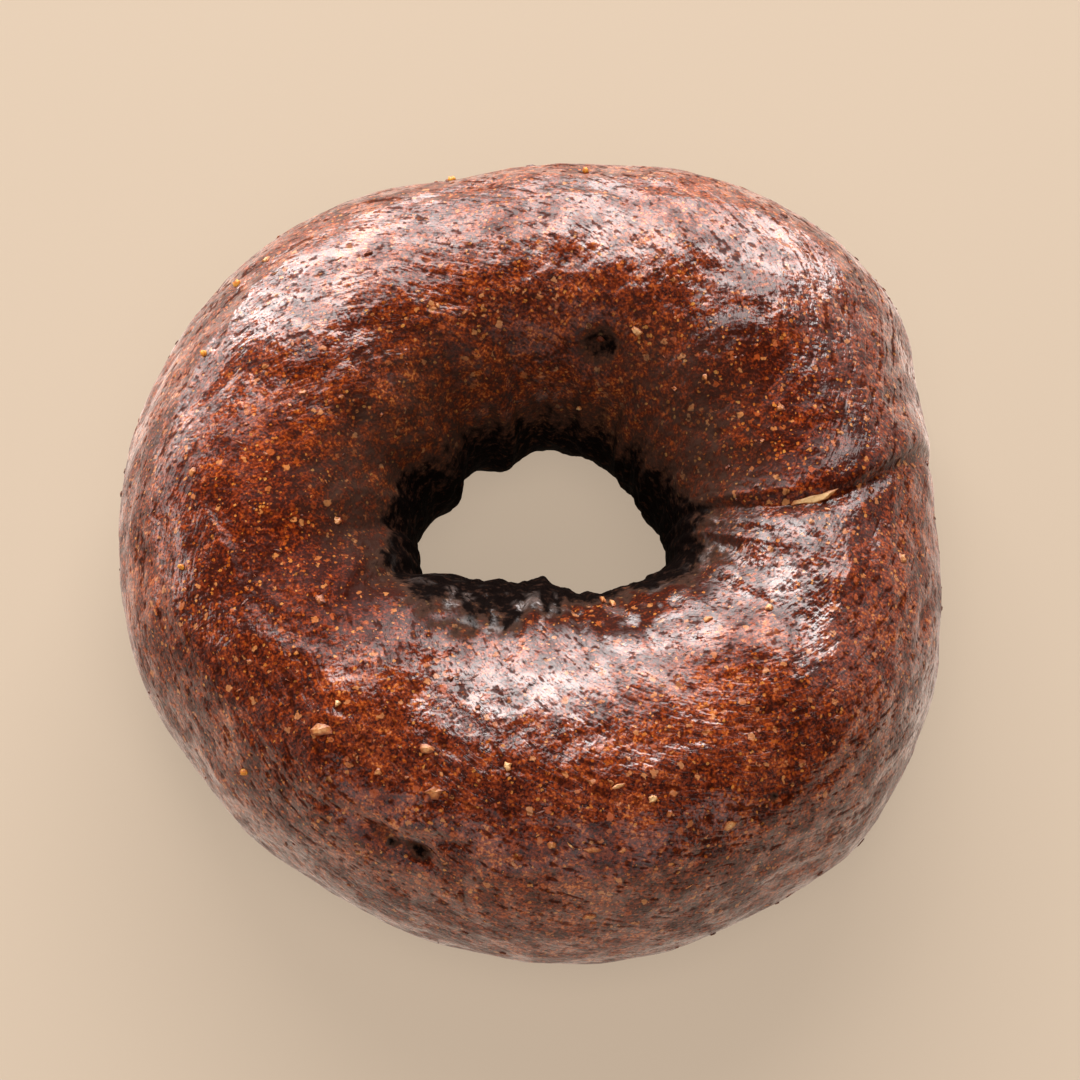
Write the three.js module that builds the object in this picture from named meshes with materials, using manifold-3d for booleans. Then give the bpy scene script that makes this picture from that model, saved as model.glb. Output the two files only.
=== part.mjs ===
// Pumpernickel bagel: one rope of dark rye dough, rolled by hand, bent round into a ring with its two ends
// lapped and pressed together, boiled, and baked on a flat sheet.
// Units are millimetres. +Z is up, the base lies on z = 0, and the origin is under the middle of the outline.
// The thickest side of the ring is towards -Y, and the join between the rope's ends is towards +X.
// A point of the crust has two angles in degrees: its angle round the ring, counted from +X, and its angle
// round the rope, 0 at the outer wall, 90 on the crest, 180 at the hole's wall and 270 underneath.

import * as THREE from "three";
import { mergeVertices } from "three/addons/utils/BufferGeometryUtils.js";
import Module from "manifold-3d";

// Driving dimensions of the ring.
const OUTLINE_RADIUS = 57.3;
const HOLE_RADIUS = 15.7;
const CREST_HEIGHT = 38.5;
const CREST_LEAN = 4.5; // how far the soft ring's top slumped towards -Y
const CREST_LEAN_SWING = 1.5; // and how much more of it there is at the -Y side, and less at the +Y side
const WAIST_SHARE = 0.44; // height of the rope's widest level, as a share of the crest's
const SQUARENESS = 0.94; // power of the section's sine and cosine: 1 is an ellipse, less is boxier
const BASE_SINK = 2.5; // how far the round section would reach below the baking sheet
const BASE_ROUNDING = 1.2; // half the height of the curve between the wall and the flat base

// Where the hand-rolled ring swells out of these radii and heights, or draws in: by millimetres, at an angle.
const OUTLINE_LOBES = [
  { at: 277, by: 4.8, spread: 27 }, // the rope's thick middle
  { at: 316, by: 2.8, spread: 12 }, // where the thick middle ends
  { at: 5, by: -5.3, spread: 23 }, // drawn in at the join
  { at: 40, by: 3.6, spread: 14 }, // shoulder past the join
  { at: 60, by: -0.6, spread: 10 },
  { at: 102, by: -3.1, spread: 15 }, // flattened far side
  { at: 152, by: -1.2, spread: 9 }, // drawn in along the fold on the far left wall
  { at: 175, by: 1.3, spread: 31 },
  { at: 236, by: 0.8, spread: 13 },
  { at: 252, by: -1.0, spread: 9 },
];
const HOLE_LOBES = [
  { at: 253, by: -3.9, spread: 22 }, // the thick middle narrows the hole
  { at: 193, by: 2.7, spread: 17 }, // long left corner
  { at: 331, by: 1.9, spread: 10 }, // right corner
  { at: 36, by: -2.3, spread: 22 },
  { at: 136, by: -0.9, spread: 13 },
  { at: 114, by: -2.2, spread: 5 }, // small knobs and nicks on the hole's wall
  { at: 148, by: -1.8, spread: 6 },
  { at: 212, by: 3.1, spread: 5 },
  { at: 274, by: -3.0, spread: 11 },
];
const CREST_LOBES = [
  { at: 280, by: 3.5, spread: 45 },
  { at: 42, by: 1.0, spread: 30 },
  { at: 5, by: -2.5, spread: 18 },
];

// Slow unevenness left by rolling: waves round the ring and round the rope.
const ROLLING_WAVES = [
  { ring: 3, rope: 1, by: 0.3, phase: 40 },
  { ring: 5, rope: -1, by: 0.3, phase: 150 },
  { ring: 8, rope: 2, by: 0.22, phase: 260 },
  { ring: 13, rope: -1, by: 0.18, phase: 15 },
  { ring: 17, rope: 3, by: 0.12, phase: 200 },
];

// The join: a crease across the rope, steep where the upper end laps over and gentle on the other side.
const JOIN = {
  at: 352.7, // ring angle of the crease at the hole
  sweep: 16.9, // how far it swings round on the outer wall
  sweepLobe: { at: 15, spread: 42 }, // where on the rope it has swung that far
  fadeLobe: { at: 85, spread: 55 }, // the crease is deepest over the crest
  depth: 1.4,
  steep: 1.2,
  gentle: 3.0,
  lip: 0.6, // rounded end of the lapping rope
  lipAt: 3.8,
  lipWidth: 3.0,
};

// Pleats that run up from the hole, where the skin was gathered: shallow waves across a window of angles.
const PLEATS = [
  { at: 268, spread: 24, rope: 134, ropeSpread: 20, count: 34, by: 0.2 },
  { at: 336, spread: 12, rope: 126, ropeSpread: 24, count: 40, by: 0.3 },
];
const PLEAT_WANDER = 1.6; // how unevenly they are spaced, in radians of their wave
const PLEAT_WANDER_ROUNDS = 17; // and how often that changes, round the ring and round the rope
const PLEAT_WANDER_TURNS = 2;

// Dents and soft creases, long by wide, turned from the ring's direction; a negative depth is a bulge.
const DENTS = [
  { at: 72.5, rope: 131, long: 2.9, wide: 3.8, turn: 0, depth: 1.4 }, // burst bubble above the hole
  { at: 92, rope: 68, long: 2.6, wide: 13, turn: 0, depth: 0.6 }, // valley across the far crest
  { at: 159, rope: 117, long: 4.6, wide: 1.4, turn: 20, depth: 0.6 }, // crease on the left inner slope
  { at: 246.5, rope: 41, long: 4.0, wide: 1.4, turn: -10, depth: 0.8 }, // hollows on the thick side's wall
  { at: 252.5, rope: 37, long: 2.2, wide: 1.5, turn: 0, depth: 1.3 },
  { at: 254.5, rope: 45, long: 3.4, wide: 1.4, turn: 10, depth: 0.7 },
  { at: 150.5, rope: 20, long: 10, wide: 1.6, turn: 0, depth: 0.9 }, // fold along the far left wall
  { at: 150.5, rope: 8, long: 9, wide: 3.2, turn: 0, depth: -0.8 }, // the skin bulging under that fold
  { at: 339, rope: 31, long: 5.5, wide: 1.6, turn: -15, depth: 0.8 }, // crease below the join
  { at: 257, rope: 120, long: 1.3, wide: 6, turn: 0, depth: 0.6 }, // pleat that runs up over the thick crest
];
const RELIEF_FROM = 1.5; // the relief fades out between these heights, towards the flat base
const RELIEF_TO = 9;

// The largest flakes of bran, grains of cracked rye and grains of meal that stand out of the crust.
const PLACED_FLAKES = [
  { at: 231, rope: 67, long: 1.7, wide: 1.25 },
  { at: 248, rope: 78, long: 0.85, wide: 0.8 },
  { at: 252, rope: 64, long: 1.35, wide: 0.9 },
  { at: 259, rope: 22, long: 1.2, wide: 0.8 },
  { at: 105, rope: 30, long: 0.6, wide: 0.52 },
  { at: 62, rope: 119, long: 0.8, wide: 0.7 },
  { at: 294, rope: 143, long: 0.7, wide: 1.5 },
  { at: 358.7, rope: 87, long: 0.8, wide: 3.3 }, // torn lip of dough at the join
];
const SCATTERED_FLAKES = 22;
const SCATTER_SEED = 20951;
const SCATTER_ROPE = [20, 140]; // rope angles that the scattered flakes keep to: the upper crust
const FLAKE_LONG = [0.5, 1.0];
const FLAKE_SLIMNESS = [0.55, 0.9]; // a flake's width as a share of its length
const FLAKE_RISE = 0.35; // how far a flake stands out of the crust, and reaches into it
const FLAKE_PROBE = 0.5; // step in degrees that finds the lie of the crust under a flake

// Rows of the faceted skin, gathered towards the join round the ring and towards the crest round the rope.
const RING_ROWS = 124;
const ROPE_ROWS = 40;
const GATHER_AT_JOIN = 0.5;
const GATHER_AT_CREST = 0.3;
const CREST_ANGLE = 90;
const FOLLOW_JOIN = 40; // spread of the rows that bend to follow the join's crease

const CRUST_COLOUR = 0x5a2613;
const CRUST_ROUGHNESS = 0.35;

const { degToRad, smoothstep, lerp } = THREE.MathUtils;

// Angle a minus angle b, in degrees, brought to between -180 and 180.
function turnBetween(a, b) {
  return ((((a - b + 180) % 360) + 360) % 360) - 180;
}

// A smooth swelling round a full turn: 1 at its angle, dying away over its spread.
function lobe(angle, { at, spread }) {
  return Math.exp((Math.cos(degToRad(angle - at)) - 1) / degToRad(spread) ** 2);
}

function withLobes(mean, lobes, ringAngle) {
  return lobes.reduce((sum, each) => sum + each.by * lobe(ringAngle, each), mean);
}

function bell(distance, width) {
  return Math.exp(-((distance / width) ** 2));
}

// The rope's section at a ring angle: the radius of its middle line, its half-width and two heights.
function ropeSection(ringAngle) {
  const outline = withLobes(OUTLINE_RADIUS, OUTLINE_LOBES, ringAngle);
  const hole = withLobes(HOLE_RADIUS, HOLE_LOBES, ringAngle);
  const crest = withLobes(CREST_HEIGHT, CREST_LOBES, ringAngle);
  return { middle: (outline + hole) / 2, halfWidth: (outline - hole) / 2, crest, waist: crest * WAIST_SHARE };
}

// Height of a rounded edge into the base: 0 below the sheet, the height itself well above it.
function restOnSheet(height) {
  if (height > BASE_ROUNDING) return height;
  return height < -BASE_ROUNDING ? 0 : (height + BASE_ROUNDING) ** 2 / (4 * BASE_ROUNDING);
}

// How far the join's crease has swung round the ring at a rope angle.
function joinSwing(ropeAngle) {
  return JOIN.sweep * lobe(ropeAngle, JOIN.sweepLobe);
}

// The join's crease and the rounded lip beside it, by the distance past the crease's line.
function joinRelief(ringAngle, ropeAngle, radius) {
  const past = degToRad(turnBetween(ringAngle, JOIN.at + joinSwing(ropeAngle))) * radius;
  const groove = -JOIN.depth * bell(past, past > 0 ? JOIN.steep : JOIN.gentle);
  return lobe(ropeAngle, JOIN.fadeLobe) * (groove + JOIN.lip * bell(past - JOIN.lipAt, JOIN.lipWidth));
}

function pleatRelief(ringAngle, ropeAngle) {
  return PLEATS.reduce((sum, pleat) => {
    const aside = bell(turnBetween(ringAngle, pleat.at), pleat.spread);
    const along = bell(turnBetween(ropeAngle, pleat.rope), pleat.ropeSpread);
    const drift = PLEAT_WANDER_ROUNDS * ringAngle + PLEAT_WANDER_TURNS * ropeAngle;
    const wander = PLEAT_WANDER * Math.sin(degToRad(drift));
    return sum + pleat.by * aside * along * Math.cos(pleat.count * degToRad(ringAngle) + wander);
  }, 0);
}

function dentRelief(ringAngle, ropeAngle, radius, ropeRadius) {
  return DENTS.reduce((sum, dent) => {
    const along = degToRad(turnBetween(ringAngle, dent.at)) * radius;
    const across = degToRad(turnBetween(ropeAngle, dent.rope)) * ropeRadius;
    const turn = degToRad(dent.turn);
    const lengthwise = along * Math.cos(turn) + across * Math.sin(turn);
    const sideways = across * Math.cos(turn) - along * Math.sin(turn);
    return sum - dent.depth * bell(lengthwise, dent.long) * bell(sideways, dent.wide);
  }, 0);
}

function rollingRelief(ringAngle, ropeAngle) {
  return ROLLING_WAVES.reduce((sum, wave) => {
    const angle = wave.ring * ringAngle + wave.rope * ropeAngle + wave.phase;
    return sum + wave.by * Math.sin(degToRad(angle));
  }, 0);
}

// A point of the crust: the rope's section with its relief, standing on the sheet, its top leaning over.
function crustPoint(ringAngle, ropeAngle) {
  const { middle, halfWidth, crest, waist } = ropeSection(ringAngle);
  const cos = Math.cos(degToRad(ropeAngle));
  const sin = Math.sin(degToRad(ropeAngle));
  const rounded = (value) => Math.sign(value) * Math.abs(value) ** SQUARENESS;
  const radius = middle + halfWidth * rounded(cos);
  const reach = sin >= 0 ? crest - waist : waist + BASE_SINK;
  const height = restOnSheet(waist + reach * rounded(sin));
  const relief =
    smoothstep(height, RELIEF_FROM, RELIEF_TO) *
    (joinRelief(ringAngle, ropeAngle, radius) +
      pleatRelief(ringAngle, ropeAngle) +
      dentRelief(ringAngle, ropeAngle, radius, halfWidth) +
      rollingRelief(ringAngle, ropeAngle));
  const out = radius + relief * cos;
  const ring = degToRad(ringAngle);
  const lean = (CREST_LEAN - CREST_LEAN_SWING * Math.sin(ring)) * Math.max(sin, 0) ** 2;
  return new THREE.Vector3(out * Math.cos(ring), out * Math.sin(ring) - lean, height + relief * sin);
}

// Row angles that lie closer together near one angle: a full turn less a share of its own sine.
function gatheredAngle(row, rows, towards, gather) {
  const turn = (2 * Math.PI * row) / rows;
  return towards + THREE.MathUtils.radToDeg(turn - gather * Math.sin(turn));
}

// The closed skin: a grid of crust points that wraps both ways, its rows bent along the crease near the join.
function ringGeometry() {
  const positions = [];
  const index = [];
  for (let i = 0; i < RING_ROWS; i++) {
    const rowAngle = gatheredAngle(i, RING_ROWS, JOIN.at, GATHER_AT_JOIN);
    const follow = lobe(rowAngle, { at: JOIN.at, spread: FOLLOW_JOIN });
    for (let j = 0; j < ROPE_ROWS; j++) {
      const ropeAngle = gatheredAngle(j, ROPE_ROWS, CREST_ANGLE, GATHER_AT_CREST);
      positions.push(...crustPoint(rowAngle + follow * joinSwing(ropeAngle), ropeAngle));
      const nextI = (i + 1) % RING_ROWS;
      const nextJ = (j + 1) % ROPE_ROWS;
      const [a, b] = [i * ROPE_ROWS + j, nextI * ROPE_ROWS + j];
      const [c, d] = [nextI * ROPE_ROWS + nextJ, i * ROPE_ROWS + nextJ];
      index.push(a, b, c, a, c, d);
    }
  }
  const geometry = new THREE.BufferGeometry();
  geometry.setAttribute("position", new THREE.Float32BufferAttribute(positions, 3));
  geometry.setIndex(index);
  return geometry;
}

// A repeatable draw between 0 and 1, from a linear congruential generator.
function makeDraw(seed) {
  let state = seed;
  return () => {
    state = (Math.imul(state, 1664525) + 1013904223) >>> 0;
    return state / 2 ** 32;
  };
}

// The scattered flakes: spread evenly round the ring by the golden angle, the rest drawn.
function scatteredFlakes() {
  const draw = makeDraw(SCATTER_SEED);
  const goldenAngle = 180 * (3 - Math.sqrt(5));
  return Array.from({ length: SCATTERED_FLAKES }, (_, i) => {
    const rope = lerp(...SCATTER_ROPE, draw());
    const long = lerp(...FLAKE_LONG, draw());
    const wide = long * lerp(...FLAKE_SLIMNESS, draw());
    return { at: i * goldenAngle, rope, long, wide };
  });
}

// One flake: a flattened twenty-sided lump, half sunk in the crust, its length along the rope's skin.
function flakeGeometry({ at, rope, long, wide }) {
  const here = crustPoint(at, rope);
  const across = crustPoint(at, rope + FLAKE_PROBE).sub(here).normalize();
  const along = crustPoint(at + FLAKE_PROBE, rope).sub(here).normalize();
  const out = along.clone().cross(across).normalize();
  const lengthwise = across.clone().cross(out).normalize();
  const frame = new THREE.Matrix4().makeBasis(lengthwise, across, out).setPosition(here);
  return new THREE.IcosahedronGeometry(1, 0).scale(long, wide, FLAKE_RISE).applyMatrix4(frame);
}

const wasm = await Module();
wasm.setup();

function solidOf(geometry) {
  const bare = geometry.clone();
  bare.deleteAttribute("normal");
  bare.deleteAttribute("uv");
  const merged = mergeVertices(bare);
  const vertProperties = new Float32Array(merged.attributes.position.array);
  const triVerts = new Uint32Array(merged.index.array);
  return new wasm.Manifold(new wasm.Mesh({ numProp: 3, vertProperties, triVerts }));
}

function geometryOf(solid) {
  const { vertProperties, triVerts } = solid.getMesh();
  const geometry = new THREE.BufferGeometry();
  geometry.setAttribute("position", new THREE.BufferAttribute(vertProperties, 3));
  geometry.setIndex(new THREE.BufferAttribute(triVerts, 1));
  return geometry;
}

// The whole bagel: the ring with its flakes fused on, moved so that its outline is centred.
function bagelGeometry() {
  const flakes = [...PLACED_FLAKES, ...scatteredFlakes()].map((flake) => solidOf(flakeGeometry(flake)));
  const geometry = geometryOf(wasm.Manifold.union([solidOf(ringGeometry()), ...flakes]));
  geometry.computeBoundingBox();
  const middle = geometry.boundingBox.getCenter(new THREE.Vector3());
  geometry.translate(-middle.x, -middle.y, 0);
  geometry.computeVertexNormals();
  return geometry;
}

const crust = new THREE.MeshStandardMaterial({ color: CRUST_COLOUR, roughness: CRUST_ROUGHNESS });
const bagel = new THREE.Mesh(bagelGeometry(), crust);
bagel.name = "bagel";

const part = new THREE.Group();
part.add(bagel);

export default part;
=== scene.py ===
import math

import bpy
import numpy as np
from mathutils import Matrix, Vector


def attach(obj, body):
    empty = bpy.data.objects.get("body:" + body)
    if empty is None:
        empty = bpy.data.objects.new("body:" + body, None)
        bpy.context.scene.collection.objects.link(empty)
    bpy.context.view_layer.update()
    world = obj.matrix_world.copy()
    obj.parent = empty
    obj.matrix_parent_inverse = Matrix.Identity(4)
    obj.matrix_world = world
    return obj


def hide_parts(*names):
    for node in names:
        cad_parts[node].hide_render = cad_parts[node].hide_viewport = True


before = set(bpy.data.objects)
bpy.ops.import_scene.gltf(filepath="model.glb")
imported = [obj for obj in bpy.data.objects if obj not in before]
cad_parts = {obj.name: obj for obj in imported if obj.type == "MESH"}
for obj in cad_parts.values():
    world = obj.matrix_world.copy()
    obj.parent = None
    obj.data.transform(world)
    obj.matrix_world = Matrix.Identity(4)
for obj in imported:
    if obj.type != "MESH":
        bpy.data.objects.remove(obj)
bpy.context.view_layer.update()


# The ring: one rope of dark rye dough, rolled by hand, bent round until its two ends lap, and pressed shut.
# It was boiled, which sets a tight glossy skin, and baked on a flat sheet until that skin went red-brown.
# A point of it has two angles in degrees: round the ring from +X, and round the rope from the outer wall.

OUTLINE_RADIUS = 57.3
HOLE_RADIUS = 15.7
CREST_HEIGHT = 38.5
CREST_LEAN = 4.5
CREST_LEAN_SWING = 1.5
WAIST_SHARE = 0.44
SQUARENESS = 0.94
BASE_SINK = 2.5
BASE_ROUNDING = 1.2
RELIEF_FROM = 1.5  # heights between which the relief sets in
RELIEF_TO = 9.0

# Lobes: ring angle, millimetres, spread. Waves: number round the ring and round the rope, millimetres, phase.
OUTLINE_LOBES = [(277, 4.8, 27), (316, 2.8, 12), (5, -5.3, 23), (40, 3.6, 14), (60, -0.6, 10),
                 (102, -3.1, 15), (152, -1.2, 9), (175, 1.3, 31), (236, 0.8, 13), (252, -1.0, 9)]
HOLE_LOBES = [(253, -3.9, 22), (193, 2.7, 17), (331, 1.9, 10), (36, -2.3, 22), (136, -0.9, 13),
              (114, -2.2, 5), (148, -1.8, 6), (212, 3.1, 5), (274, -3.0, 11)]
CREST_LOBES = [(280, 3.5, 45), (42, 1.0, 30), (5, -2.5, 18)]
ROLLING_WAVES = [(3, 1, 0.3, 40), (5, -1, 0.3, 150), (8, 2, 0.22, 260), (13, -1, 0.18, 15), (17, 3, 0.12, 200)]

JOIN_AT = 352.7
JOIN_SWEEP = 16.9
JOIN_SWEEP_LOBE = (15, 42)  # rope angle and spread, here and in the next line
JOIN_FADE_LOBE = (85, 55)
JOIN_DEPTH = 1.3
JOIN_STEEP = 0.8
JOIN_GENTLE = 2.0
JOIN_LIP = 0.5
JOIN_LIP_AT = 3.0
JOIN_LIP_WIDTH = 2.6
PLEATS = [  # ring angle and width, rope angle and width, number in a full turn, half-depth
    (268, 24, 134, 20, 34, 0.2),
    (336, 12, 126, 24, 40, 0.3),
]
PLEAT_WANDER = (1.6, 17, 2)  # radians, waves round the ring and round the rope
DENTS = [  # ring angle, rope angle, half-length, half-width, turn, depth
    (72.5, 131, 2.9, 3.8, 0, 1.8),  # burst bubble above the hole
    (92, 68, 2.6, 13, 0, 0.6),  # valley across the far crest
    (159, 117, 4.6, 1.4, 20, 0.6),  # crease on the left inner slope
    (246.5, 41, 4.0, 1.4, -10, 1.1),  # hollows on the thick side's wall, and a scar under them
    (252.5, 37, 2.2, 1.5, 0, 1.7),
    (254.5, 45, 3.4, 1.4, 10, 0.7),
    (253.5, 33, 6.0, 0.8, -4, 0.5),
    (150.5, 20, 10, 1.6, 0, 0.9),  # fold along the far left wall, and the skin bulging under it
    (150.5, 8, 9, 3.2, 0, -0.8),
    (339, 31, 5.5, 1.6, -15, 0.8),  # crease below the join
    (257, 120, 1.3, 6, 0, 0.6),  # pleat that runs up over the thick crest
]

# Noises of the skin: height in millimetres or shift in degrees, cells round the ring and round the rope, seed.
SKIN_BEND = (1.8, 30, 14, 11)
SKIN_TWIST = (5.0, 26, 12, 12)
SKIN_LUMPS = (0.20, 26, 14, 1)
SKIN_BUMPS = [(0.23, 44, 44, 2), (0.08, 96, 96, 3), (0.035, 170, 190, 4)]
SKIN_GATHERS = (0.14, 96, 10, 5)
SKIN_CREASES = (1.0, 64, 36, 6)
CREASE_WIDTH = 0.14
CREASE_DEPTH = 0.12
GATHERED_AT = (132, 36)  # rope angle and width of the slope where the skin is gathered into the hole
PULLED_AT = (292, 58)  # ring angle and width of the side where it is pulled most
LIP_RAGS = [(176, 26, (0.35, 76, 9, 7)), (158, 24, (0.5, 44, 8, 8))]  # rope angle and width, noise


def lobe(angle, at, spread):
    """A swelling round a full turn: the exponential of (cosine of the angle to its middle - 1) / spread squared."""
    return np.exp((np.cos(np.radians(angle - at)) - 1) / math.radians(spread) ** 2)


def with_lobes(mean, lobes, ring):
    """A mean value plus each lobe's amount times its swelling at the ring angle."""
    return mean + sum(by * lobe(ring, at, spread) for at, by, spread in lobes)


def bell(distance, width):
    """The exponential of minus (distance / width) squared."""
    return np.exp(-((distance / width) ** 2))


def turn_between(a, b):
    """Angle a less angle b, brought to between -180 and 180 degrees."""
    return (a - b + 180) % 360 - 180


def around(angle, at, width):
    """A bell of the angle's distance from its middle."""
    return bell(turn_between(angle, at), width)


def smooth(share):
    """A share held between 0 and 1 and eased at both ends: its square times (3 - twice itself)."""
    held = np.clip(share, 0, 1)
    return held**2 * (3 - 2 * held)


def skin_noise(ring, rope, by, ring_cells, rope_cells, seed):
    """Gradient noise on a grid of cells that closes both round the ring and round the rope: each corner of a cell
    has a random slope, and the four corners' planes are blended by the quintic curve. It runs from about -by to by."""
    slopes = np.random.default_rng(seed).uniform(0, 2 * np.pi, (ring_cells, rope_cells))
    x = ring / 360 * ring_cells
    y = rope / 360 * rope_cells
    x_cell = np.floor(x).astype(int)
    y_cell = np.floor(y).astype(int)
    x_in = x - x_cell
    y_in = y - y_cell

    def corner(dx, dy):
        slope = slopes[(x_cell + dx) % ring_cells, (y_cell + dy) % rope_cells]
        return np.cos(slope) * (x_in - dx) + np.sin(slope) * (y_in - dy)

    x_blend = x_in**3 * (x_in * (x_in * 6 - 15) + 10)
    y_blend = y_in**3 * (y_in * (y_in * 6 - 15) + 10)
    near = corner(0, 0) * (1 - x_blend) + corner(1, 0) * x_blend
    far = corner(0, 1) * (1 - x_blend) + corner(1, 1) * x_blend
    return by * (1.5 * (near * (1 - y_blend) + far * y_blend))


def join_swing(rope):
    """Degrees by which the join's line swings round the ring: most on the outer wall, by a lobe."""
    return JOIN_SWEEP * lobe(rope, *JOIN_SWEEP_LOBE)


def moulded_relief(ring, rope, radius, half_width):
    """What hands and baking did: the lapped join, pleats at the hole, dents, and slow waves from rolling. The join is
    a groove, steep past its line and gentle before it, with a lip past it."""
    past = np.radians(turn_between(ring, JOIN_AT + join_swing(rope))) * radius
    groove = -JOIN_DEPTH * bell(past, np.where(past > 0, JOIN_STEEP, JOIN_GENTLE))
    relief = lobe(rope, *JOIN_FADE_LOBE) * (groove + JOIN_LIP * bell(past - JOIN_LIP_AT, JOIN_LIP_WIDTH))
    wander_by, wander_ring, wander_rope = PLEAT_WANDER
    wander = wander_by * np.sin(np.radians(wander_ring * ring + wander_rope * rope))
    for at, width, rope_at, rope_width, count, by in PLEATS:
        window = around(ring, at, width) * around(rope, rope_at, rope_width)
        relief += by * window * np.cos(count * np.radians(ring) + wander)
    for at, rope_at, long, wide, turn, depth in DENTS:
        along = np.radians(turn_between(ring, at)) * radius
        across = np.radians(turn_between(rope, rope_at)) * half_width
        cos, sin = math.cos(math.radians(turn)), math.sin(math.radians(turn))
        relief -= depth * bell(along * cos + across * sin, long) * bell(across * cos - along * sin, wide)
    for ring_waves, rope_waves, by, phase in ROLLING_WAVES:
        relief += by * np.sin(np.radians(ring_waves * ring + rope_waves * rope + phase))
    return relief


def skin_relief(ring, rope):
    """The skin's own unevenness: lumps, bumps of three sizes, gathers that run into the hole, thin creases where a
    warped noise crosses zero, and a ragged lip round the hole."""
    bent = ring + skin_noise(ring, rope, *SKIN_BEND)
    twisted = rope + skin_noise(ring, rope, *SKIN_TWIST)
    relief = skin_noise(ring, rope, *SKIN_LUMPS)
    for bumps in SKIN_BUMPS:
        relief += skin_noise(bent, twisted, *bumps)
    gathered = around(rope, *GATHERED_AT)
    relief += gathered * (0.2 + 0.8 * around(ring, *PULLED_AT)) * skin_noise(bent, twisted, *SKIN_GATHERS)
    crease = np.clip(1 - np.abs(skin_noise(bent, twisted, *SKIN_CREASES)) / CREASE_WIDTH, 0, 1)
    relief -= CREASE_DEPTH * (0.35 + 0.65 * gathered) * crease
    for at, width, rags in LIP_RAGS:
        relief += around(rope, at, width) * skin_noise(bent, rope, *rags)
    return relief


def crust_points(ring, rope):
    """Points of the crust in millimetres, and the relief at each: the rope's section is an ellipse with a power
    on its sine and cosine, flattened on the sheet, moved out along the section by the relief, and its upper half
    leans towards -Y by the square of its sine, more so on the near side."""
    outline = with_lobes(OUTLINE_RADIUS, OUTLINE_LOBES, ring)
    hole = with_lobes(HOLE_RADIUS, HOLE_LOBES, ring)
    crest = with_lobes(CREST_HEIGHT, CREST_LOBES, ring)
    half_width = (outline - hole) / 2
    waist = crest * WAIST_SHARE
    cos, sin = np.cos(np.radians(rope)), np.sin(np.radians(rope))
    radius = (outline + hole) / 2 + half_width * np.sign(cos) * np.abs(cos) ** SQUARENESS
    reach = np.where(sin >= 0, crest - waist, waist + BASE_SINK)
    height = waist + reach * np.sign(sin) * np.abs(sin) ** SQUARENESS
    rounded = np.clip(height + BASE_ROUNDING, 0, None) ** 2 / (4 * BASE_ROUNDING)
    height = np.where(height > BASE_ROUNDING, height, rounded)
    relief = moulded_relief(ring, rope, radius, half_width) + skin_relief(ring, rope)
    relief = relief * smooth((height - RELIEF_FROM) / (RELIEF_TO - RELIEF_FROM))
    out = radius + relief * cos
    angle = np.radians(ring)
    lean = (CREST_LEAN - CREST_LEAN_SWING * np.sin(angle)) * np.clip(sin, 0, None) ** 2
    points = np.stack([out * np.cos(angle), out * np.sin(angle) - lean, height + relief * sin], axis=-1)
    return points, relief


RING_ROWS = 560
ROPE_ROWS = 176
RING_CROWDING = 0.3  # rows lie closer together at the join, and on the crest
ROPE_CROWDING = 0.42
JOIN_ROWS_SPREAD = 40  # and those near the join follow its line
ring_turn = np.linspace(0, 2 * np.pi, RING_ROWS, endpoint=False)[:, None]
rope_turn = np.linspace(0, 2 * np.pi, ROPE_ROWS, endpoint=False)[None, :]
rope_angle = 90 + np.degrees(rope_turn - ROPE_CROWDING * np.sin(rope_turn)) + 0 * ring_turn
row_angle = JOIN_AT + np.degrees(ring_turn - RING_CROWDING * np.sin(ring_turn)) + 0 * rope_turn
ring_angle = row_angle + lobe(row_angle, JOIN_AT, JOIN_ROWS_SPREAD) * join_swing(rope_angle)
ring_points, ring_relief = crust_points(ring_angle, rope_angle)
flat_points = ring_points.reshape(-1, 3)
CENTRE = np.append((flat_points.min(0) + flat_points.max(0))[:2] / 2, 0.0)


def mesh_piece(name, points, faces, material):
    """A smooth-shaded mesh object at the origin, from points in the ring's own millimetres."""
    mesh = bpy.data.meshes.new(name)
    mesh.from_pydata((points - CENTRE) / 1000, [], faces)
    mesh.shade_smooth()
    mesh.materials.append(material)
    piece = bpy.data.objects.new(name, mesh)
    bpy.context.scene.collection.objects.link(piece)
    return piece


def add_values(piece, name, values):
    """Stores a number, or a vector of three, at each point of a piece, for its material to read."""
    vectors = values.size > len(piece.data.vertices)
    kind, field = ("FLOAT_VECTOR", "vector") if vectors else ("FLOAT", "value")
    piece.data.attributes.new(name, kind, "POINT").data.foreach_set(field, values.ravel())


def wrapped_faces(rows, columns):
    """Quads of a grid of points that closes on itself both ways."""
    row, column = np.meshgrid(np.arange(rows), np.arange(columns), indexing="ij")
    next_row, next_column = (row + 1) % rows, (column + 1) % columns
    corners = [row * columns + column, next_row * columns + column,
               next_row * columns + next_column, row * columns + next_column]
    return np.stack(corners, axis=-1).reshape(-1, 4)


def srgb(red, green, blue):
    """A colour as a paint chart gives it, 0 to 255, turned to the linear values that a shader takes."""
    linear = [v / 255 / 12.92 if v <= 10 else ((v / 255 + 0.055) / 1.055) ** 2.4 for v in (red, green, blue)]
    return (*linear, 1.0)


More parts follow.
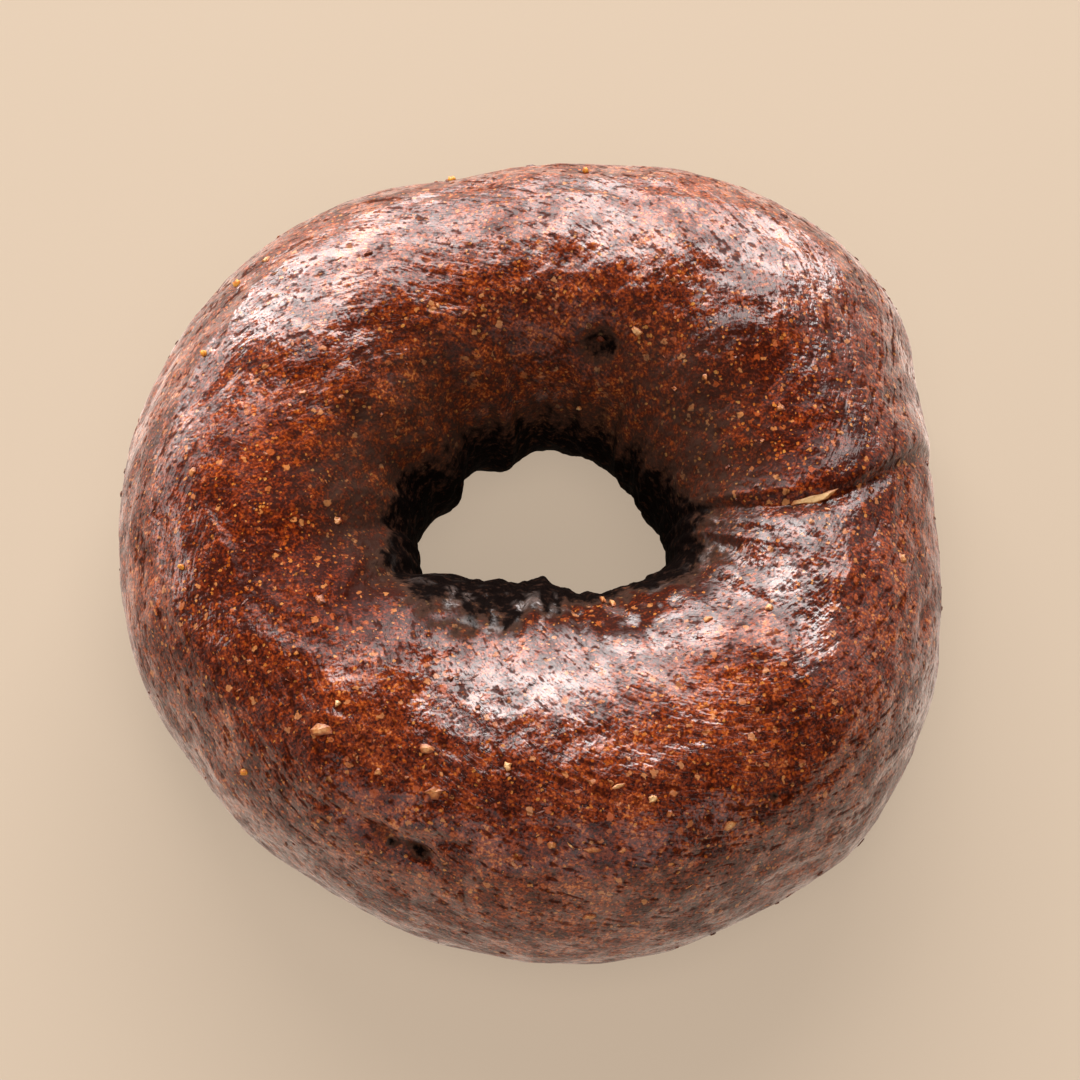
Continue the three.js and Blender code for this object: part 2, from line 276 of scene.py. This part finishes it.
class Wire:
    """A shader socket. Arithmetic on it adds Math nodes, and node() adds any other kind."""

    def __init__(self, tree, socket=None):
        self.tree = tree
        self.socket = socket

    def node(self, kind, settings=None, inputs=None, output=0):
        """Adds a node: its settings first, then a value or a wire for each input named. Gives one of its outputs."""
        made = self.tree.nodes.new(kind)
        for name, value in (settings or {}).items():
            setattr(made, name, value)
        for key, value in (inputs or {}).items():
            if isinstance(value, Wire):
                self.tree.links.new(value.socket, made.inputs[key])
            else:
                made.inputs[key].default_value = value
        return Wire(self.tree, made.outputs[output])

    def other(self, output):
        """Another output of the node that this wire comes from."""
        return Wire(self.tree, self.socket.node.outputs[output])

    def maths(self, operation, *values):
        """A Math node on these values or wires."""
        return self.node("ShaderNodeMath", {"operation": operation}, dict(enumerate(values)))

    def __add__(self, value):
        return self.maths("ADD", self, value)

    def __sub__(self, value):
        return self.maths("SUBTRACT", self, value)

    def __rsub__(self, value):
        return self.maths("SUBTRACT", value, self)

    def __mul__(self, value):
        return self.maths("MULTIPLY", self, value)

    __radd__ = __add__

    def ease(self, start, end):
        """0 below start, 1 above end, smooth between; turned round if start is the larger."""
        settings = {"interpolation_type": "SMOOTHSTEP"}
        return self.node("ShaderNodeMapRange", settings, {"Value": self, "From Min": start, "From Max": end})

    def tint(self, first, second, blend="MIX"):
        """A mix of two colours, with this wire as the share of the second, or of their product."""
        settings = {"data_type": "RGBA", "blend_type": blend}
        return self.node("ShaderNodeMix", settings, {0: self, 6: first, 7: second}, output=2)

    def ramp(self, shades):
        """The colour at this wire's value on a row of shades, each with its position."""
        colour = self.node("ShaderNodeValToRGB", None, {0: self})
        stops = colour.socket.node.color_ramp.elements
        stops.remove(stops[1])
        for i, (position, shade) in enumerate(shades):
            stop = stops[0] if i == 0 else stops.new(position)
            stop.position = position
            stop.color = shade
        return colour

    def noise(self, vector, scale, detail, roughness=0.5):
        """Noise with this many cells to the metre."""
        inputs = {"Vector": vector, "Scale": scale, "Detail": detail, "Roughness": roughness}
        return self.node("ShaderNodeTexNoise", None, inputs)

    def attribute(self, name, output):
        """A value that is stored at each point of the mesh."""
        return self.node("ShaderNodeAttribute", {"attribute_name": name}, None, output)

    def bump(self, distance):
        """A normal that this wire raises by its value times a distance in metres."""
        return self.node("ShaderNodeBump", None, {"Strength": 1.0, "Distance": distance, "Height": self})

    def shader(self, inputs):
        """A Principled shader with these inputs."""
        return self.node("ShaderNodeBsdfPrincipled", None, inputs)

    def to_surface(self):
        """Gives the shader that this wire comes from to the material."""
        output = self.tree.nodes.new("ShaderNodeOutputMaterial")
        self.tree.links.new(self.socket, output.inputs["Surface"])


def new_material(name):
    """An empty node material, a bare wire to start from, and the wire of a point's own coordinates in metres."""
    material = bpy.data.materials.new(name)
    material.use_nodes = True
    material.node_tree.nodes.clear()
    start = Wire(material.node_tree)
    return material, start, start.node("ShaderNodeTexCoord", None, None, "Object")


CRUST_SHADES = [(0.0, srgb(44, 9, 2)), (0.3, srgb(82, 25, 4)), (0.55, srgb(108, 38, 6)), (0.8, srgb(146, 62, 14)),
                (1.0, srgb(178, 100, 42))]
CRUMB_SHADES = [(0.0, srgb(26, 6, 2)), (0.5, srgb(92, 32, 5)), (0.82, srgb(166, 82, 16)), (1.0, srgb(190, 126, 56))]
DARK_SPECK = srgb(148, 62, 12)
PALE_SPECK = srgb(180, 114, 60)
# Painted shade: a brown for gaps and creases, a filter and a grey-brown for the slopes into the hole, and a near
# black.
CREASE_SHADE_BROWN = srgb(40, 12, 5)
SHADE_FILTER = (0.4, 0.55, 1.0, 1.0)
SHADE_BROWN = srgb(66, 47, 38)
SHADE_BLACK = srgb(9, 4, 3)
SHEEN_TINT = (1.0, 0.88, 0.84, 1.0)

crust, start, place = new_material("baked_rye_crust")
turns = start.attribute("ring_and_rope", "Vector")
rope_sine = start.attribute("rope_sine", "Fac")
painted_hollow_shade = start.attribute("painted_hollow_shade", "Fac")
gloss = start.attribute("gloss", "Fac")
darkened = start.attribute("darkened", "Fac")
bend = start.noise(place, 1500.0, 1.0).other("Color")


def along_rope(ring_scale, rope_scale, detail):
    """Noise that closes round the ring and round the rope: four dimensions, two for each turn. The rope's angle has
    the ring's added, so that the pattern winds once round the rope, as rolling twisted the dough."""
    scales = {0: turns, 1: (ring_scale, ring_scale, rope_scale)}
    vector = start.node("ShaderNodeVectorMath", {"operation": "MULTIPLY"}, scales)
    inputs = {"Vector": vector, "W": rope_sine * rope_scale, "Scale": 1.0, "Detail": detail}
    return start.node("ShaderNodeTexNoise", {"noise_dimensions": "4D"}, inputs)


def flecks(scale, share, size, soften):
    """Specks of bran: the middles of a share of the cells of a Voronoi pattern, each of its own size, on a place
    that a noise bends. Gives the specks' mask and a number that is random by speck."""
    bends = {0: bend, 1: (1.0 / scale,) * 3, 2: place}
    bent = start.node("ShaderNodeVectorMath", {"operation": "MULTIPLY_ADD"}, bends)
    cells = start.node("ShaderNodeTexVoronoi", None, {"Vector": bent, "Scale": scale})
    random = start.node("ShaderNodeSeparateColor", None, {0: cells.other("Color")})
    girth = random.other(1)
    kept = random.ease(1 - share, 1.02 - share)
    edge = (girth * size + size * 0.3 - cells).ease(0.0, soften)
    return edge * kept, random.other(2)


# The patterns: patches from broad to fine, folds along the rope with pimples between them, the gaps and creases of
# those, and two sizes of specks. The low walls, which swelled in the oven, are smoother than what is high.
broad = start.noise(place, 60.0, 2.0)
patch = start.noise(place, 240.0, 2.0)
mottle = start.noise(place, 800.0, 4.0, 0.7)
grain = start.noise(place, 2600.0, 1.0)
pimples = start.noise(place, 1100.0, 1.0)
folds = along_rope(ring_scale=14.0, rope_scale=28.0, detail=2.0)
high = start.node("ShaderNodeSeparateXYZ", None, {0: place}, 2).ease(0.012, 0.032)
gap = (folds * 0.6 + pimples * 0.4).ease(0.465, 0.385) * (0.3 + high * 0.7)
crease = start.maths("ABSOLUTE", folds - 0.53).ease(0.013, 0.002)
bran, bran_hue = flecks(scale=900.0, share=0.3, size=0.4, soften=0.14)
crumbs, crumb_hue = flecks(scale=1900.0, share=0.75, size=0.45, soften=0.14)

# The colour: speckled browns, then the specks, then painted shade: a brown in gaps and creases, and greying and
# darkening on dents, the slopes into the hole and its wall.
speckle = mottle.ease(0.34, 0.66) * 0.55 + grain.ease(0.34, 0.66) * 0.5
tone = speckle + (patch - 0.5) * 0.8 + (broad - 0.5) * 0.7 - darkened - 0.145
colour = tone.ramp(CRUST_SHADES)
colour = (crumbs * (0.35 + high * 0.4)).tint(colour, crumb_hue.ramp(CRUMB_SHADES))
colour = (bran * 0.75).tint(colour, bran_hue.ease(0.1, 0.9).tint(DARK_SPECK, PALE_SPECK))
# Painted shade: the gaps between folds and the thin creases are darkened as their shade would be.
colour = (gap * 0.6 + crease * 0.3).tint(colour, CREASE_SHADE_BROWN)
# Painted shade on dents, on the slopes into the hole and on its wall, made ragged by a noise, darkens and greys the
# colour.
shade_depth = painted_hollow_shade * (1.3 - mottle.ease(0.3, 0.7) * 0.6)
painted_shade = shade_depth.ease(0.0, 0.6)
colour = painted_shade.tint(colour, SHADE_FILTER, "MULTIPLY")
colour = (painted_shade * 0.62).tint(colour, SHADE_BROWN)

# The skin: a glossy shader where it stayed tight, and a dull one in gaps, creases, dents, the hole and rubbed places.
skin = (folds * 0.12 + pimples * 0.13 + grain * 0.03 - crease * 0.012).bump(0.001)
glossy = start.shader({"Base Color": colour, "Roughness": 0.14 + bran * 0.2, "Specular IOR Level": 1.0,
                       "Sheen Weight": 0.5, "Sheen Roughness": 0.45, "Sheen Tint": SHEEN_TINT, "Normal": skin})
# The dull shader's colour goes to near black where the painted shade is deepest: on the hole's wall and in pits.
matte = start.shader({"Base Color": shade_depth.ease(0.45, 0.95).tint(colour, SHADE_BLACK), "Roughness": 0.5 + painted_hollow_shade * 0.4,
                      "Specular IOR Level": 0.02, "Normal": skin})
shine = gloss * (0.55 + patch.ease(0.42, 0.56) * 0.45) * (1 - gap * 0.9) * (1 - crease * 0.8)
start.node("ShaderNodeMixShader", None, {0: shine, 1: matte, 2: glossy}).to_surface()

ring_piece = mesh_piece("crust_ring", flat_points, wrapped_faces(RING_ROWS, ROPE_ROWS), crust)
ring_radians = np.radians(ring_angle)
wound = np.radians(rope_angle + ring_angle)
add_values(ring_piece, "ring_and_rope", np.stack([np.cos(ring_radians), np.sin(ring_radians), np.cos(wound)], axis=-1))
add_values(ring_piece, "rope_sine", np.sin(wound))

# Spots: ring angle, rope angle, radius, darkness or share of the gloss that is lost.
PAINTED_PIT_SHADE = [
    (72, 131, 3.2, 0.75),  # painted shade on the floor of the burst bubble, and in its two vents
    (67.5, 130, 0.95, 1.0),
    (75.5, 131, 0.7, 0.8),
    (252.5, 36, 1.3, 1.0),  # painted shade in pits on the thick side's wall
    (248.5, 37, 0.8, 0.9),
    (247, 40, 1.9, 0.3),
    (302.5, 50, 0.6, 0.9),
]
DARKER_SPOTS = [(14, 99, 17, 0.33), (197, 101, 16, 0.29), (227, 112, 10, 0.2)]  # crests painted darker
DULL = [
    (180, 104, 14, 0.98),
    (203, 103, 14, 0.96),
    (226, 108, 12, 0.72),
    (170, 83, 10, 0.55),
    (95, 74, 9, 0.4),
    (66, 68, 10, 0.42),
    (16, 98, 13, 0.97),
    (45, 92, 9, 0.45),
    (104, 89, 8, 0.35),
    (304, 97, 6.5, 0.65),
    (320, 96, 6.5, 0.65),
    (256, 120, 7, 0.35),
    (287, 96, 6.5, 0.5),
    (122, 93, 9, 0.5),
    (150, 90, 8, 0.4),
    (344, 76, 5, 0.45),
    (352, 40, 18, 0.45),
    (195, 45, 20, 0.45),
]
WET = (339, 133, 6)  # glints beside the hole: ring angle, rope angle, radius
WET_END = (147, 10)  # rope angle where the glints end, and the degrees over which they fade
WALL_END = (250, 20)  # the same for the painted shade on the hole's wall
PIT_FROM = 1.0  # depth at which a dent begins to take a painted shade, and the darkest that shade gets
PIT_DARKEST = 0.7

# Lobes and noises as above, in degrees or in shares of 1.
WALL_LOBES = [(238, -14, 26), (345, -11, 18), (298, 9, 18)]
WALL_RAGS = [(8, 36, 20, 21), (6, 90, 60, 22)]
SLOPE_RAGS = (5, 50, 30, 23)
SLOPE_LOBES = [(235, 0.12, 24)]
DARKER_LIP_LOBES = [(248, 0.15, 24)]
PUDDLES = (4, 60, 60, 24)
PUDDLE_STRAY = (5, 40, 24, 25)

far = np.clip(np.sin(ring_radians), 0, 1)
near = np.clip(-1.5 * np.sin(ring_radians), 0, 1)
aside = np.abs(np.cos(ring_radians)) * (1 - near)


def by_side(base, far_by=0.0, near_by=0.0, aside_by=0.0):
    """A value at each point of the ring, changed by these amounts on its far side, near side, and left and right."""
    return base + far_by * far + near_by * near + aside_by * aside


def fade_out(angle, end, width):
    """1, falling to 0 over a width of degrees that ends at an angle."""
    return np.clip((end - angle) / width, 0, 1)


def hole_wall_shade():
    """Depth into the painted shade of the hole's wall, 0 to 1: from a ragged line at the lip down to the base."""
    down = rope_angle % 360
    lip = with_lobes(by_side(129, far_by=11, near_by=-1), WALL_LOBES, ring_angle)
    for rags in WALL_RAGS:
        lip += skin_noise(ring_angle, rope_angle, *rags)
    return smooth((down - lip) / by_side(36, far_by=14, near_by=-18)) * fade_out(down, *WALL_END)


def inner_slope():
    """How far down the slope from the crest to the hole each point is, 0 to 1, from a ragged line near the crest."""
    top = by_side(96, near_by=19, aside_by=-10) + skin_noise(ring_angle, rope_angle, *SLOPE_RAGS)
    return np.clip((rope_angle - top) / by_side(36, near_by=-24), 0, 1) * (rope_angle < 180)


def spot(points, ring, rope, radius):
    """1 at points within most of a radius of one on the crust, falling smoothly to 0 past it."""
    centre = crust_points(np.array(ring), np.array(rope))[0]
    return np.exp(-((np.linalg.norm(points - centre, axis=-1) / radius) ** 4))


def wet_lip():
    """Where the lip of the hole still glints, 0 to 1: puddles of a noise, on the near side and at one more place."""
    strayed = ring_angle + skin_noise(ring_angle, rope_angle, *PUDDLE_STRAY)
    puddles = np.clip(skin_noise(strayed, rope_angle, *PUDDLES) - 0.8, 0, 1)
    return np.maximum(near, spot(ring_points, *WET)) * puddles * fade_out(rope_angle, *WET_END)


# What the material reads at each point: its painted shade, how much gloss is left, and how much darker its colour is
# made.
inner = inner_slope()
slope_shade = with_lobes(by_side(0.22, near_by=-0.08, aside_by=0.15), SLOPE_LOBES, ring_angle)
# Painted shade: in dents deeper than PIT_FROM, on the hole's wall, on the slopes into it, and at the listed pits.
pits = np.clip(-ring_relief - PIT_FROM, 0, PIT_DARKEST)
painted_hollow_shades = np.maximum(pits, np.maximum(hole_wall_shade(), slope_shade * inner))
for *place_and_radius, darkness in PAINTED_PIT_SHADE:
    painted_hollow_shades = np.maximum(painted_hollow_shades, darkness * spot(ring_points, *place_and_radius))
glosses = 1 - np.maximum(np.clip(painted_hollow_shades / 0.35, 0, 1), near * inner) * (1 - 0.9 * wet_lip())
for *place_and_radius, dullness in DULL:
    glosses *= 1 - dullness * spot(ring_points, *place_and_radius)
# Darker colour on the near side's slope into the hole, and at the listed crests.
darkening = with_lobes(0.45, DARKER_LIP_LOBES, ring_angle) * near * inner
for *place_and_radius, darkness in DARKER_SPOTS:
    darkening += darkness * spot(ring_points, *place_and_radius)
add_values(ring_piece, "painted_hollow_shade", painted_hollow_shades)
add_values(ring_piece, "gloss", glosses)
add_values(ring_piece, "darkened", darkening)
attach(ring_piece, "root")
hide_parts("bagel")


# The bran: flakes and slivers of rye bran and cracked rye in the dough, which stand a little out of the skin and
# stay paler than it in the oven. The largest show one by one, a torn flap of dough lies along the join, and the
# rest are scattered over the crust.

PLACED_BRAN = [  # ring angle, rope angle, half-length, half-width, turn, slope, rise, paleness
    (231, 67, 1.7, 1.25, 20, 0.0, 0.35, 0.6),
    (248, 78, 0.85, 0.8, 0, 0.0, 0.35, 0.6),
    (252, 64, 1.35, 0.9, 30, 0.1, 0.35, 0.5),
    (259, 22, 1.2, 0.8, 80, 0.0, 0.35, 0.15),
    (62, 119, 0.8, 0.7, 0, 0.0, 0.35, 0.8),
    (293, 145, 1.5, 0.55, 95, 0.3, 0.4, 0.6),
    (296, 142, 1.4, 0.45, 84, 0.3, 0.4, 0.75),
    (358, 87, 3.4, 0.65, 104, 0.45, 0.35, 0.95),  # torn flap along the join
    (270.5, 53, 0.65, 0.55, 0, 0.0, 0.3, 0.55),
    (276, 51, 1.3, 0.6, 0, 0.1, 0.3, 0.4),
    (280, 50, 0.6, 0.4, 20, 0.0, 0.3, 0.5),
    (273, 53, 0.8, 0.14, -48, 0.0, 0.15, 0.9),
    (281, 73, 1.1, 0.32, 15, 0.2, 0.25, 0.8),
    (286, 67, 0.7, 0.5, 20, 0.1, 0.3, 0.95),
    (287.5, 60, 0.75, 0.6, 10, 0.0, 0.3, 0.35),
    (254.5, 94, 0.5, 0.4, 0, 0.0, 0.3, 0.2),
    (246, 101, 0.45, 0.4, 0, 0.0, 0.3, 0.2),
    (65, 94, 0.6, 0.4, 40, 0.0, 0.3, 0.15),
    (74, 161, 0.5, 0.35, 30, 0.0, 0.35, 0.95),
]
SCATTERED_BRAN = 22
SCATTERED_RISE = 0.3
SCATTER_SEED = 20951
SMALL_BRAN = 280
SMALL_BRAN_SEED = 41
BRAN_RIM_SEED = 5
BRAN_SHADES = [(0.0, srgb(78, 30, 8)), (0.2, srgb(124, 56, 16)), (0.45, srgb(152, 86, 38)),
               (0.75, srgb(182, 124, 74)), (1.0, srgb(208, 168, 116))]
RIM = 9  # points round a flake
# The rims and sunk rings take a painted shade, -0.45, where each flake meets the skin; the top's middle is painted a
# little paler.
FLAKE_RINGS = np.array([[0.62, 1.0, 0.0], [1.0, 0.3, -0.45], [0.8, -0.8, -0.45]])  # share of rim and rise, paleness
FLAKE_MIDDLES = np.array([[0.0, 1.1, 0.1], [0.0, -0.8, -0.45]])  # the same, on top and underneath


def crust_frame(ring, rope):
    """Points of the crust, with unit vectors along the ring, up the rope and out of the skin at each."""
    step = 0.3
    along = crust_points(ring + step, rope)[0] - crust_points(ring - step, rope)[0]
    up = crust_points(ring, rope + step)[0] - crust_points(ring, rope - step)[0]
    along /= np.linalg.norm(along, axis=-1, keepdims=True)
    out = np.cross(along, up)
    out /= np.linalg.norm(out, axis=-1, keepdims=True)
    return crust_points(ring, rope)[0], along, np.cross(out, along), out


def flake_column(column):
    """One column of FLAKE_RINGS for each point of their rims, then of FLAKE_MIDDLES."""
    return np.append(np.repeat(FLAKE_RINGS[:, column], RIM), FLAKE_MIDDLES[:, column])


def flake_points(flakes, seed):
    """Closed flat lumps on the crust. Each has a jagged oval rim, a smaller ring of points above it and another sunk
    below, and a middle point on both faces; a slope lifts one long edge. A row of flakes is: ring angle, rope angle,
    half-length, half-width, turn from the ring's direction, slope, rise."""
    ring, rope, long, wide, turn, slope, rise = np.asarray(flakes, float).T[:, :, None]
    here, along, up, out = crust_frame(ring, rope)
    spin = np.radians(turn)[..., None]
    lengthwise = along * np.cos(spin) + up * np.sin(spin)
    sideways = up * np.cos(spin) - along * np.sin(spin)
    draw = np.random.default_rng(seed)
    jagged = draw.uniform(0.55, 1.2, (len(ring), RIM))
    angle = np.linspace(0, 2 * np.pi, RIM, endpoint=False)
    middles = np.zeros((len(ring), len(FLAKE_MIDDLES)))
    shares = flake_column(0)
    x = np.concatenate([np.tile(long * np.cos(angle) * jagged, len(FLAKE_RINGS)), middles], axis=1) * shares
    y = np.concatenate([np.tile(wide * np.sin(angle) * jagged, len(FLAKE_RINGS)), middles], axis=1) * shares
    z = rise * flake_column(1) * draw.uniform(0.6, 1.3, x.shape) + slope * y
    return (here + x[..., None] * lengthwise + y[..., None] * sideways + z[..., None] * out).reshape(-1, 3)


def flake_faces(count):
    """Triangles of that many lumps: a fan on top, two bands round the rim and a fan underneath."""
    k = np.arange(RIM)
    after = (k + 1) % RIM
    fans = [(np.full(RIM, 3 * RIM), k, after), (np.full(RIM, 3 * RIM + 1), 2 * RIM + after, 2 * RIM + k)]
    bands = [(row + k, row + RIM + k, row + RIM + after) for row in (0, RIM)]
    bands += [(row + k, row + RIM + after, row + after) for row in (0, RIM)]
    one = np.concatenate([np.stack(corners, axis=1) for corners in fans + bands])
    return (np.arange(count)[:, None, None] * (3 * RIM + 2) + one).reshape(-1, 3)


def scattered_bran():
    """Flakes spread round the ring by the golden angle; a linear congruential generator draws the rest of each:
    rope angle from 20 to 140, half-length from 0.5 to 1.0, and width as a share of it from 0.55 to 0.9."""
    state = SCATTER_SEED
    draws = []
    for _ in range(3 * SCATTERED_BRAN):
        state = (state * 1664525 + 1013904223) % 2**32
        draws.append(state / 2**32)
    rope, long, slim = np.array(draws).reshape(-1, 3).T
    ring = np.arange(SCATTERED_BRAN) * 180 * (3 - math.sqrt(5))
    long = 0.5 + 0.5 * long
    wide = long * (0.55 + 0.35 * slim)
    none = np.zeros(SCATTERED_BRAN)
    return np.stack([ring, 20 + 120 * rope, long, wide, none, none, none + SCATTERED_RISE, slim], axis=1)


def small_bran():
    """Small flakes anywhere on the crust that the sheet didn't touch, half-lengths from 0.2 to 0.6 and mostly short.
    Two in five are slivers: half as long again, and 0.14 to 0.3 as wide as they are long, not 0.5 to 0.95."""
    draw = np.random.default_rng(SMALL_BRAN_SEED)
    long = 0.2 + 0.4 * draw.random(SMALL_BRAN) ** 2.5
    sliver = draw.random(SMALL_BRAN) < 0.4
    long = np.where(sliver, long * 1.5, long)
    wide = long * np.where(sliver, draw.uniform(0.14, 0.3, SMALL_BRAN), draw.uniform(0.5, 0.95, SMALL_BRAN))
    rise = np.minimum(0.06 + wide * 0.25, 0.2)
    ring, rope = draw.uniform(0, 360, SMALL_BRAN), draw.uniform(-20, 122, SMALL_BRAN)
    turn, slope = draw.uniform(0, 180, SMALL_BRAN), draw.uniform(-0.2, 0.2, SMALL_BRAN)
    return np.stack([ring, rope, long, wide, turn, slope, rise, 0.65 * draw.random(SMALL_BRAN) ** 2.2], axis=1)


bran_rows = np.concatenate([PLACED_BRAN, scattered_bran(), small_bran()])
bran_middles = crust_points(bran_rows[:, 0], bran_rows[:, 1])[0]
# Flakes that lie in the painted shade of those pits and of the bubble are darkened with it.
for *place_and_radius, darkness in PAINTED_PIT_SHADE:
    bran_rows[:, 7] -= darkness * spot(bran_middles, *place_and_radius)
bran_flake, start, place = new_material("rye_bran")
paleness_and_shade = start.attribute("paleness_and_shade", "Fac")
fibre = start.noise(place, 2200.0, 3.0, 0.6)
start.shader({"Base Color": (paleness_and_shade + (fibre - 0.5) * 0.9).ramp(BRAN_SHADES), "Roughness": 0.25 + fibre * 0.3,
              "Normal": fibre.bump(0.0001)}).to_surface()
bran_faces = flake_faces(len(bran_rows))
bran_piece = mesh_piece("bran_flakes", flake_points(bran_rows[:, :7], BRAN_RIM_SEED), bran_faces, bran_flake)
bran_piece.data.shade_flat()
# Each flake's own lightness, less the painted shade at its rim and in shaded pits.
add_values(bran_piece, "paleness_and_shade", bran_rows[:, 7:] + flake_column(2))
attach(bran_piece, "root")
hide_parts("bagel")


# The meal: a few coarse grains of yellow maize meal, which the baker strews on the board to keep dough from sticking.
# They were pressed into the skin as the rope was rolled, and stand half out of it.

GRAINS = [(105, 30), (194, 58), (156.5, 49), (84, 49), (143, 40), (226, 30)]  # ring angle, rope angle
GRAIN_LONG = 0.6
GRAIN_WIDE = 0.52
GRAIN_RISE = 0.55
GRAIN_TURN = 40  # degrees from each to the next
GRAIN_RIM_SEED = 8
DEEP_YELLOW = srgb(176, 92, 14)
PALE_YELLOW = srgb(216, 152, 52)

grain_rows = [(ring, rope, GRAIN_LONG, GRAIN_WIDE, GRAIN_TURN * i, 0.0, GRAIN_RISE)
              for i, (ring, rope) in enumerate(GRAINS)]
meal, start, place = new_material("maize_meal")
speck = start.noise(place, 1600.0, 2.0)
start.shader({"Base Color": speck.ease(0.3, 0.7).tint(DEEP_YELLOW, PALE_YELLOW), "Roughness": 0.35 + speck * 0.2,
              "Normal": speck.bump(0.0001)}).to_surface()
meal_piece = mesh_piece("meal_grains", flake_points(grain_rows, GRAIN_RIM_SEED), flake_faces(len(grain_rows)), meal)
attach(meal_piece, "root")
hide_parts("bagel")


# The floor: plain pale paper at the level of the base, with a painted pool of light. It glows faintly, which
# softens the shadow. Past the edges of the picture its colour and glow fall off into the dark, so that the
# bagel's walls mirror no sharp horizon.

FLOOR_HALF = 1500.0
POOL_MIDDLE = (0.0, 0.45, 0.0)
POOL_EDGES = (1.25, 0.65)  # metres from its middle where the pool of light ends, and where it is full
PAINTED_GLOW = 0.57

paper, start, place = new_material("pale_paper")
away = start.node("ShaderNodeVectorMath", {"operation": "DISTANCE"}, {0: place, 1: POOL_MIDDLE}, "Value")
pool = away.ease(*POOL_EDGES)
start.shader({"Base Color": pool.tint(srgb(40, 36, 32), srgb(114, 103, 90)),
              "Emission Color": pool.tint(srgb(0, 0, 0), srgb(222, 200, 176)), "Emission Strength": PAINTED_GLOW,
              "Roughness": 0.9, "Specular IOR Level": 0.1}).to_surface()
corners = np.array([[-1, -1, 0], [1, -1, 0], [1, 1, 0], [-1, 1, 0]]) * FLOOR_HALF
floor = mesh_piece("floor", corners + CENTRE, np.array([[0, 1, 2, 3]]), paper)


# The light: one large soft window behind the bagel, from 28 to 54 degrees up, which the skin mirrors, with a duller
# one below it, down to the floor, a low one on its left, a small one high up, a weak one on its right and a pale wall
# in front. Soft fills come from the front and the left, whose reflections are held back, as a polariser would.

WINDOWS = [  # name, azimuth, elevation, distance, width, height, watts, colour, whether the skin mirrors it
    ("back_window", 90.5, 41, 1.2, 1.2, 0.55, 23, (1.0, 0.96, 0.94), True),
    ("low_window", 90.5, 14, 1.2, 1.8, 0.6, 25, (1.0, 0.95, 0.94), True),
    ("left_window", 143, 12, 1.2, 1.0, 0.5, 8, (1.0, 0.95, 0.92), True),
    ("right_window", 38, 30, 1.2, 0.9, 0.9, 1.2, (1.0, 0.95, 0.92), True),
    ("high_window", 108, 63, 1.2, 0.3, 0.25, 1.2, (1.0, 0.96, 0.94), True),
    ("front_wall", 270, 22, 1.2, 2.0, 1.2, 5, (1.0, 0.96, 0.94), True),
    ("left_fill", 185, 15, 1.2, 0.6, 0.5, 4, (1.0, 0.95, 0.9), False),
    ("front_fill", 278, 66, 1.3, 0.9, 0.9, 9.5, (1.0, 0.96, 0.92), False),
]
LIT_HEIGHT = 0.02  # of the point that they all face
ROOM_COLOUR = (1.0, 0.96, 0.92, 1.0)
ROOM_STRENGTH = 0.08

for name, azimuth, elevation, distance, width, height, watts, colour, mirrored in WINDOWS:
    light = bpy.data.lights.new(name, "AREA")
    light.shape = "RECTANGLE"
    light.size, light.size_y = width, height
    light.energy = watts
    light.color = colour
    lamp = bpy.data.objects.new(name, light)
    a, e = math.radians(azimuth), math.radians(elevation)
    towards = Vector((math.cos(e) * math.cos(a), math.cos(e) * math.sin(a), math.sin(e)))
    turn = towards.to_track_quat("Z", "Y").to_matrix().to_4x4()
    lamp.matrix_world = Matrix.Translation(towards * distance + Vector((0, 0, LIT_HEIGHT))) @ turn
    lamp.visible_glossy = mirrored
    bpy.context.scene.collection.objects.link(lamp)
world = bpy.data.worlds.new("room")
bpy.context.scene.world = world
world.use_nodes = True
world.node_tree.nodes["Background"].inputs["Color"].default_value = ROOM_COLOUR
world.node_tree.nodes["Background"].inputs["Strength"].default_value = ROOM_STRENGTH
world.cycles_visibility.glossy = False
bpy.context.scene.view_settings.view_transform = "Standard"


# The camera: a long lens on the near side of the bagel, 0.62 m away and 62 degrees above the table. It shows 7.4
# pixels to the millimetre where a picture is 1080 pixels wide, as the photograph does.

ELEVATION = math.radians(62)
DISTANCE = 0.62
PIXELS_PER_METRE = 7400
IMAGE_WIDTH = 1080
SENSOR = 36.0
AIM = np.array([-1.1, -2.44, 19.0])  # in the ring's own millimetres

aim = Vector((AIM - CENTRE) / 1000)
back = Vector((0, -math.cos(ELEVATION), math.sin(ELEVATION)))
lens = bpy.data.cameras.new("camera")
lens.sensor_width = SENSOR
lens.lens = PIXELS_PER_METRE * DISTANCE / IMAGE_WIDTH * SENSOR
lens.clip_start = 0.01
camera = bpy.data.objects.new("camera", lens)
camera.matrix_world = Matrix.Translation(aim + back * DISTANCE) @ back.to_track_quat("Z", "Y").to_matrix().to_4x4()
bpy.context.scene.collection.objects.link(camera)
bpy.context.scene.camera = camera
